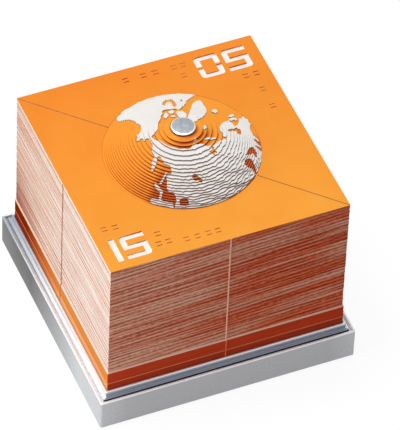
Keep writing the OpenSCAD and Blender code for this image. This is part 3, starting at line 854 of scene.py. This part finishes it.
def pack(node, seed):
    """One pack, on the front side of the cut or turned round to the rear side."""
    rng = random.Random(seed)
    z0, z1 = node_levels(node)
    turn = 1 if node.startswith("front") else -1
    cloud = corners(node)
    b = Builder()
    for i in range(round((z1 - z0) / sheet_t)):
        z = z0 + i * sheet_t
        outline = sheet_outline(rng, bite_radius(cloud, z + sheet_t / 2))
        thick = sheet_t - rng.uniform(*THINNER)
        z += rng.uniform(0, sheet_t - thick)
        b.loft([[(x * turn, y * turn, z + t) for x, y in outline] for t in (0, thick)])
    b.make(node + "_sheets", mat_pack, "pad", [node], sharp=30)


for number, name in enumerate(packs):
    pack(name, PACK_SEED + number)


# Lines of padding glue

BEAD_SEED = 7
BEAD_STEPS = 8
SUNK = 0.02  # of a bead's foot below the face that it lies on
ROOT = 0.1  # of a bead's inner face below its foot
STEP_OUT = 0.8  # height in which a bead steps out over the boards
MOST_DRIFT, DRIFT_STEP = 0.12, 0.05
BULGES, WIDTHS, PITCHES = (0.16, 0.3), (0.5, 0.74), (0.5, 0.9)
END_BULGE, END_WIDTH = 0.12, 0.5


def strand(sections, quarter):
    """Rings of a bead on one side. A section is its level, the place of the face that it lies on, how far it
    bulges, its width and its sideways drift."""
    rings = []
    for z, face, bulge, width, drift in sections:
        foot = face - SUNK
        ring = []
        for k in range(BEAD_STEPS + 1):
            a = math.radians(180 * k / BEAD_STEPS)
            ring.append((drift + width / 2 * math.cos(a), -foot - bulge * math.sin(a), z))
        ring += [(drift - width / 2, -foot + ROOT, z), (drift + width / 2, -foot + ROOT, z)]
        rings.append(turned(ring, quarter))
    return rings


def bead(name, node, quarter, cover_body):
    """A thin uneven strand down one side, stepping out over the boards. Its top end is torn off with the page."""
    rng = random.Random(quarter + BEAD_SEED)
    bottom, top = node_levels(node)
    sections = []
    z = top
    drift = 0.0
    while z > bottom:
        if z > board_top_z + STEP_OUT:
            face = page_half
        elif z > board_top_z:
            face = page_half + (board_half - page_half) * (board_top_z + STEP_OUT - z) / STEP_OUT
        else:
            face = board_half
        drift = max(-MOST_DRIFT, min(MOST_DRIFT, drift + rng.uniform(-DRIFT_STEP, DRIFT_STEP)))
        sections.append((z, face, rng.uniform(*BULGES), rng.uniform(*WIDTHS), drift))
        z -= rng.uniform(*PITCHES)
    sections.append((bottom, board_half, END_BULGE, END_WIDTH, drift))
    b = Builder()
    b.loft(strand(sections, quarter))
    b.make(name, mat_glue, "pad", [node], sharp=50)
    stub = Builder()
    stub.loft(strand([(top + 0.02, page_half, 0.24, 0.6, 0.0), (top + 0.34, page_half, 0.26, 0.66, 0.03),
                      (page_z - 0.06, page_half, END_BULGE, END_WIDTH, 0.02)], quarter))
    stub.make(name + "_stub", mat_glue, cover_body, [], sharp=50)


bead("front_bead", "front_glue_bead", 0, "front_cover")
bead("right_bead", "right_glue_bead", 1, "rear_cover")
bead("rear_bead", "rear_glue_bead", 2, "rear_cover")
bead("left_bead", "left_glue_bead", 3, "front_cover")


# Globe: the land stands a little proud of the sea, with ragged highlands; each tread gets painted shade towards
# the foot of the next riser

LAND_SEED = 31
GRID = 0.01  # places are told apart on a grid this fine
WELD = 0.002
FLAT_DEGREES = 0.5  # faces that meet at less than this are one
LEAST_RISER = 0.3
LEAST_PAST = 0.03  # land that stands out past its disc by less than this keeps its edge
LEAST_LEFT = 0.02  # what a ragged edge keeps standing out
FULL_PAST = 0.3  # land that stands out this far is moved by the full shift
COLLAR_POINTS, CAP_POINTS = 128, 96


def step_key(p):
    return tuple(round(c / (GRID * MM)) for c in p)


def risers(b):
    """Lower and upper end of every upright edge of a stepped mesh."""
    for edge in b.edges:
        low, high = sorted((v.co for v in edge.verts), key=lambda p: p[2])
        upright = math.hypot(high[0] - low[0], high[1] - low[1]) < GRID * MM
        if upright and high[2] - low[2] > LEAST_RISER * MM:
            yield low.copy(), high.copy()


def disc_radius():
    """Radius of each disc of the sea, by the height of its upper face."""
    radius = {}
    for x, y, z in corners("globe_sea_layers"):
        radius[round(z, 1)] = max(radius.get(round(z, 1), 0.0), math.hypot(x, y))
    return radius


def ragged(b, most):
    """Uneven cliffs where the land stands out past its disc: each upright edge moves in or out a little."""
    rng = random.Random(LAND_SEED)
    discs = disc_radius()
    moved = {}
    for low, high in sorted(risers(b), key=lambda pair: step_key(pair[0])):
        r = math.hypot(low[0], low[1])
        past = r / MM - discs.get(round(high[2] / MM, 1), math.inf)
        shift = rng.uniform(-most, most) * min(1.0, max(0.0, past / FULL_PAST))
        grow = 1 + max(shift, LEAST_LEFT - past) * MM / r if past > LEAST_PAST else 1.0
        moved[step_key(low)] = moved[step_key(high)] = grow
    for v in b.verts:
        grow = moved.get(step_key(v.co), 1.0)
        v.co.x *= grow
        v.co.y *= grow


def stepped(name, node, lift, most):
    """A copy of a stepped node, lifted away from the cap, with cliffs that are moved in or out by up to most."""
    mesh = nodes[node].data.copy()
    mesh.name = name
    b = bmesh.new()
    b.from_mesh(mesh)
    if most:
        bmesh.ops.remove_doubles(b, verts=b.verts, dist=WELD * MM)
        bmesh.ops.dissolve_limit(b, angle_limit=math.radians(FLAT_DEGREES), verts=b.verts, edges=b.edges)
        ragged(b, most)
        bmesh.ops.remove_doubles(b, verts=b.verts, dist=WELD * MM)
        bmesh.ops.triangulate(b, faces=b.faces)
        for face in b.faces:
            face.smooth = False
    # Points at the foot of each riser: where the painted shade on the treads is strongest
    feet = {step_key(low) for low, _ in risers(b)}
    b.to_mesh(mesh)
    b.free()
    foot = mesh.attributes.new("foot", "FLOAT", "POINT")
    foot.data.foreach_set("value", [1.0 if step_key(v.co) in feet else 0.0 for v in mesh.vertices])
    clear, full = 0.2, 1.5  # the lift begins this far from the cap and grows over this length
    for v in mesh.vertices:
        past_cap = math.hypot(v.co.x, v.co.y) - cap_r * MM
        v.co.z += lift * MM * min(1.0, max(0.0, (past_cap - clear * MM) / (full * MM)))
    obj = bpy.data.objects.new(name, mesh)
    scene.collection.objects.link(obj)
    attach(obj, "globe")
    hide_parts(node)


def collar():
    """A ring at the page, on the hidden disc there, that makes the gap look as narrow as in the photograph."""
    hole = min(math.hypot(p[0], p[1]) for p in corners("front_cover_sheet"))
    outer, inner = hole - 0.07, hole - 0.32
    top, bottom, soft = page_z - 0.02, page_z - 0.5, 0.03
    profile = ((inner, bottom), (outer, bottom), (outer, top - soft), (outer - soft, top), (inner, top))
    b = Builder()
    b.loft([circle(r, z, COLLAR_POINTS) for r, z in profile], closed=True)
    b.make("globe_collar", mat_sea, "globe", [], sharp=40)


def cap():
    """Turned cap: a thin rounded rim over a narrower neck, and the socket for the post."""
    socket_z = node_levels("spindle_post")[1]
    middle = 0.4  # radius of the faces that close the cap and its socket
    rim = ((0.55, 0), (0.45, 0.02), (0.3, 0.07), (0.15, 0.16), (0.05, 0.27), (0, 0.4), (0.05, 0.5), (0.3, 0.6),
           (0.6, 0.7))  # inward and down from the cap's rim and top
    neck = cap_r - 0.7
    profile = [(middle, cap_z)] + [(cap_r - inward, cap_z - down) for inward, down in rim]
    profile += [(neck, cap_low_z + 0.1), (neck, cap_low_z), (POST_HOLE, cap_low_z), (POST_HOLE, socket_z),
                (middle, socket_z)]
    b = Builder()
    b.loft([circle(r, z, CAP_POINTS) for r, z in profile])
    b.make("turned_pole_cap", mat_cap, "pad", ["pole_cap"], sharp=40)


stepped("raised_land", "globe_land_layers", 0.48, 0.3)
stepped("stepped_sea", "globe_sea_layers", 0.0, 0.0)
collar()
cap()


# Camera, from the photograph

AZIMUTH, ELEVATION, ROLL = -24.36, 46.64, 2.594
DISTANCE = 2004.9
TARGET = Vector((7.386, -3.345, page_z - 35.788))
FOCAL_PIXELS, IMAGE_PIXELS, SENSOR = 5067.5, 430, 36
FAR_END = 20
az, el = math.radians(AZIMUTH), math.radians(ELEVATION)
back = Vector((math.sin(az) * math.cos(el), -math.cos(az) * math.cos(el), math.sin(el)))
camera_data = bpy.data.cameras.new("camera")
camera = bpy.data.objects.new("camera", camera_data)
scene.collection.objects.link(camera)
camera.location = (TARGET + back * DISTANCE) * MM
camera.rotation_euler = (-back).to_track_quat("-Z", "Y").to_euler()
camera.rotation_euler.rotate_axis("Z", math.radians(ROLL))
camera_data.sensor_width = SENSOR
camera_data.lens = FOCAL_PIXELS * SENSOR / IMAGE_PIXELS
camera_data.clip_end = FAR_END
scene.camera = camera


# Floor, world and lamps

WHITE = (1, 1, 1, 1)
FLOOR_SIZE, FLOOR_Z = 6, -0.0001
FLOOR_GREY = (0.6, 0.6, 0.6, 1)
FLOOR_GLOW, FLOOR_GLOW_SHARE = 1.17, 0.76  # what a ray that sees the floor gets; the rest takes the shadow
WORLD_LIGHT, WORLD_SEEN = 0.26, 1.0


def floor_material():
    s = Shade("floor")
    glow = s.node("ShaderNodeEmission")
    s.feed(glow.inputs["Color"], WHITE)
    s.feed(glow.inputs["Strength"], FLOOR_GLOW)
    diffuse = s.node("ShaderNodeBsdfDiffuse")
    s.feed(diffuse.inputs["Color"], FLOOR_GREY)
    mix = s.node("ShaderNodeMixShader")
    s.link(s.times(s.seen(), FLOOR_GLOW_SHARE), mix.inputs[0])
    s.link(diffuse.outputs[0], mix.inputs[1])
    s.link(glow.outputs[0], mix.inputs[2])
    s.link(mix.outputs[0], s.tree.nodes["Material Output"].inputs["Surface"])
    s.tree.nodes.remove(s.bsdf)
    return s.material


bpy.ops.mesh.primitive_plane_add(size=FLOOR_SIZE, location=(0, 0, FLOOR_Z))
floor = bpy.context.object
floor.name = "floor"
floor.data.materials.append(floor_material())

world = bpy.data.worlds.new("world")
scene.world = world
world.use_nodes = True
sky = Graph(world.node_tree)
background = sky.tree.nodes["Background"]
sky.feed(background.inputs["Color"], WHITE)
sky.feed(background.inputs["Strength"], sky.span(sky.seen(), 0.0, 1.0, WORLD_LIGHT, WORLD_SEEN))


def area(name, place, aim, size, power):
    data = bpy.data.lights.new(name, "AREA")
    data.size = size
    data.energy = power
    lamp = bpy.data.objects.new(name, data)
    scene.collection.objects.link(lamp)
    lamp.location = place
    lamp.rotation_euler = (Vector(aim) - Vector(place)).to_track_quat("-Z", "Y").to_euler()
    lamp.visible_camera = False


area("key", place=(-0.26, -0.07, 0.10), aim=(-0.05, -0.03, 0.04), size=0.14, power=0.32)
area("top", place=(-0.08, 0.07, 0.69), aim=(0, 0, 0.05), size=0.36, power=3.05)
